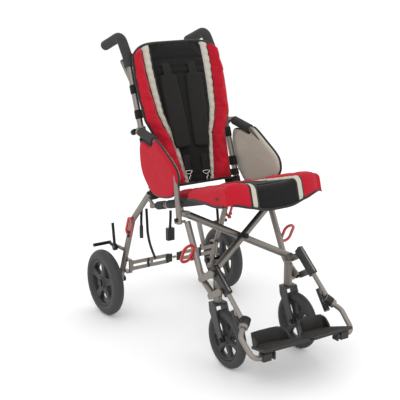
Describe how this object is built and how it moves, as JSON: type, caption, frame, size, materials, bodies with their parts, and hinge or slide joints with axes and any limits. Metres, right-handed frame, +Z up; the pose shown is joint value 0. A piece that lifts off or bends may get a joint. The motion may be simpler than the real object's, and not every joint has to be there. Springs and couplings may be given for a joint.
{
  "type": "folding manual wheelchair",
  "caption": "Folding attendant-pushed manual wheelchair with reclined padded seat, scissor brace, swivelling front casters, mag rear wheels and split flip-up footplates.",
  "frame": {"origin": "on the floor, at the centre of the bounding box", "axes": "+Z up, the chair faces -Y, +X is the sitting person's left"},
  "size_m": [0.612, 1.0406, 1.0678],
  "materials": {
    "tyre": "solid grey rubber, fine moulded tread",
    "rim_plastic": "moulded dark grey",
    "dark_steel": "black coated steel",
    "fork_paint": "satin dark grey powder coat",
    "frame_tube": "satin anodised, warm silver",
    "black_plastic": "moulded black",
    "plate_plastic": "ribbed brown black",
    "foam": "closed cell foam sleeve",
    "loop_paint": "red powder coat",
    "black_fabric": "black woven polyester",
    "red_fabric": "red woven polyester",
    "webbing": "black webbing"
  },
  "bodies": {
    "left_side": {"front_leg_left": "frame_tube", "rear_leg_left": "frame_tube", "back_cane_left": "frame_tube", "push_grip_left": "foam", "arm_tube_left": "frame_tube", "arm_pad_left": "foam", "rear_axle_left": "dark_steel", "tie_loops_left": "loop_paint", "hanger_left": "black_plastic", "hip_guard_left": "red_fabric", "back_cushion": "red_fabric", "strut_pin": "dark_steel", "harness_pad_left": "black_fabric", "harness_pad_right": "black_fabric"},
    "right_side": {"front_leg_right": "frame_tube", "rear_leg_right": "frame_tube", "back_cane_right": "frame_tube", "push_grip_right": "foam", "arm_tube_right": "frame_tube", "arm_pad_right": "foam", "rear_axle_right": "dark_steel", "tie_loops_right": "loop_paint", "hanger_right": "black_plastic", "hip_guard_right": "red_fabric", "fold_strap": "webbing", "side_tail": "webbing", "side_plug": "black_plastic"},
    "rear_wheel_left": {"rear_tyre_left": "tyre", "rear_rim_left": "rim_plastic"},
    "caster_fork_left": {"caster_fork_left": "fork_paint", "caster_axle_left": "dark_steel"},
    "caster_wheel_left": {"caster_tyre_left": "tyre", "caster_rim_left": "rim_plastic"},
    "lock_lever_left": {"lock_lever_left": "dark_steel"},
    "rear_bars_left": {"rear_bars_left": "frame_tube"},
    "footrest_slide_left": {"footrest_slide_left": "frame_tube"},
    "footrest_elbow_left": {"footrest_elbow_left": "frame_tube"},
    "footplate_left": {"footplate_left": "plate_plastic"},
    "rear_wheel_right": {"rear_tyre_right": "tyre", "rear_rim_right": "rim_plastic"},
    "caster_fork_right": {"caster_fork_right": "fork_paint", "caster_axle_right": "dark_steel"},
    "caster_wheel_right": {"caster_tyre_right": "tyre", "caster_rim_right": "rim_plastic"},
    "lock_lever_right": {"lock_lever_right": "dark_steel"},
    "rear_bars_right": {"rear_bars_right": "frame_tube"},
    "footrest_slide_right": {"footrest_slide_right": "frame_tube"},
    "footrest_elbow_right": {"footrest_elbow_right": "frame_tube"},
    "footplate_right": {"footplate_right": "plate_plastic"},
    "cross_tube_a": {"cross_tube_a": "frame_tube", "cross_bolt": "dark_steel"},
    "cross_tube_b": {"cross_tube_b": "frame_tube"},
    "seat_rail_left": {"seat_rail_left": "frame_tube", "rail_foam_left": "foam", "seat_sling": "black_fabric", "seat_cushion": "red_fabric"},
    "seat_rail_right": {"seat_rail_right": "frame_tube", "rail_foam_right": "foam", "belt_tail": "webbing", "belt_buckle": "black_plastic"}
  },
  "joints": [
    {"name": "fold", "type": "hinge", "parent": "left_side", "child": "cross_tube_a", "pos_m": [0.176, -0.16533, 0.31022], "axis": [0, 0.9781, -0.2079], "range_deg": [0, 41], "deforming": ["seat_sling", "seat_cushion", "back_cushion", "harness_pad_left", "harness_pad_right", "fold_strap", "hip_guard_left", "hip_guard_right"]},
    {"name": "cross_pivot", "type": "hinge", "parent": "cross_tube_a", "child": "cross_tube_b", "pos_m": [0, -0.11654, 0.40316], "axis": [0, 0.9781, -0.2079], "range_deg": [-83, 1]},
    {"name": "right_side_pivot", "type": "hinge", "parent": "cross_tube_b", "child": "right_side", "pos_m": [-0.176, -0.19271, 0.31604], "axis": [0, 0.9781, -0.2079], "range_deg": [-1, 42]},
    {"name": "rail_pivot_right", "type": "hinge", "parent": "cross_tube_a", "child": "seat_rail_right", "pos_m": [-0.176, -0.04036, 0.49028], "axis": [0, 0.9781, -0.2079], "range_deg": [-42, 1]},
    {"name": "rail_pivot_left", "type": "hinge", "parent": "cross_tube_b", "child": "seat_rail_left", "pos_m": [0.176, -0.06775, 0.4961], "axis": [0, 0.9781, -0.2079], "range_deg": [-1, 42]},
    {"name": "rear_wheel_spin_left", "type": "hinge", "parent": "left_side", "child": "rear_wheel_left", "pos_m": [0.273, 0.39185, 0.127], "axis": [1, 0, 0], "continuous": true},
    {"name": "caster_swivel_left", "type": "hinge", "parent": "left_side", "child": "caster_fork_left", "pos_m": [0.15, -0.19615, 0.25], "axis": [0, 0, 1], "continuous": true},
    {"name": "caster_spin_left", "type": "hinge", "parent": "caster_fork_left", "child": "caster_wheel_left", "pos_m": [0.15, -0.25515, 0.1015], "axis": [1, 0, 0], "continuous": true},
    {"name": "wheel_lock_left", "type": "hinge", "parent": "left_side", "child": "lock_lever_left", "pos_m": [0.238, 0.37185, 0.268], "axis": [1, 0, 0], "range_deg": [0, 25]},
    {"name": "rear_bar_fold_left", "type": "hinge", "parent": "left_side", "child": "rear_bars_left", "pos_m": [0.197, 0.32885, 0.196], "axis": [0, 0, 1], "range_deg": [-1, 64.55]},
    {"name": "footrest_length_left", "type": "slide", "parent": "left_side", "child": "footrest_slide_left", "axis": [0, -0.7848, -0.6198], "range_m": [0, 0.05]},
    {"name": "footrest_swing_left", "type": "hinge", "parent": "footrest_slide_left", "child": "footrest_elbow_left", "pos_m": [0.177, -0.39015, 0.212], "axis": [0.6489, -0.4692, -0.599], "range_deg": [-115.8, 1]},
    {"name": "footplate_flip_left", "type": "hinge", "parent": "footrest_elbow_left", "child": "footplate_left", "pos_m": [0.15, -0.48015, 0.1265], "axis": [1, 0, 0], "range_deg": [0, 85]},
    {"name": "rear_wheel_spin_right", "type": "hinge", "parent": "right_side", "child": "rear_wheel_right", "pos_m": [-0.273, 0.39185, 0.127], "axis": [1, 0, 0], "continuous": true},
    {"name": "caster_swivel_right", "type": "hinge", "parent": "right_side", "child": "caster_fork_right", "pos_m": [-0.15, -0.19615, 0.25], "axis": [0, 0, 1], "continuous": true},
    {"name": "caster_spin_right", "type": "hinge", "parent": "caster_fork_right", "child": "caster_wheel_right", "pos_m": [-0.15, -0.25515, 0.1015], "axis": [1, 0, 0], "continuous": true},
    {"name": "wheel_lock_right", "type": "hinge", "parent": "right_side", "child": "lock_lever_right", "pos_m": [-0.238, 0.37185, 0.268], "axis": [1, 0, 0], "range_deg": [0, 25]},
    {"name": "rear_bar_fold_right", "type": "hinge", "parent": "right_side", "child": "rear_bars_right", "pos_m": [-0.197, 0.32885, 0.196], "axis": [0, 0, -1], "range_deg": [-1, 64.55]},
    {"name": "footrest_length_right", "type": "slide", "parent": "right_side", "child": "footrest_slide_right", "axis": [0, -0.7848, -0.6198], "range_m": [0, 0.05]},
    {"name": "footrest_swing_right", "type": "hinge", "parent": "footrest_slide_right", "child": "footrest_elbow_right", "pos_m": [-0.177, -0.39015, 0.212], "axis": [-0.6489, -0.4692, -0.599], "range_deg": [-1, 115.8]},
    {"name": "footplate_flip_right", "type": "hinge", "parent": "footrest_elbow_right", "child": "footplate_right", "pos_m": [-0.15, -0.48015, 0.1265], "axis": [1, 0, 0], "range_deg": [0, 85]}
  ],
  "couplings": [
    {"joint": "cross_pivot", "follows": "fold", "ratio": -2},
    {"joint": "right_side_pivot", "follows": "fold", "ratio": 1},
    {"joint": "rail_pivot_right", "follows": "fold", "ratio": -1},
    {"joint": "rail_pivot_left", "follows": "fold", "ratio": 1},
    {"joint": "rear_bar_fold_left", "follows": "fold", "ratio": 1.55},
    {"joint": "footrest_swing_left", "follows": "fold", "ratio": -2.8},
    {"joint": "rear_bar_fold_right", "follows": "fold", "ratio": 1.55},
    {"joint": "footrest_swing_right", "follows": "fold", "ratio": 2.8}
  ]
}
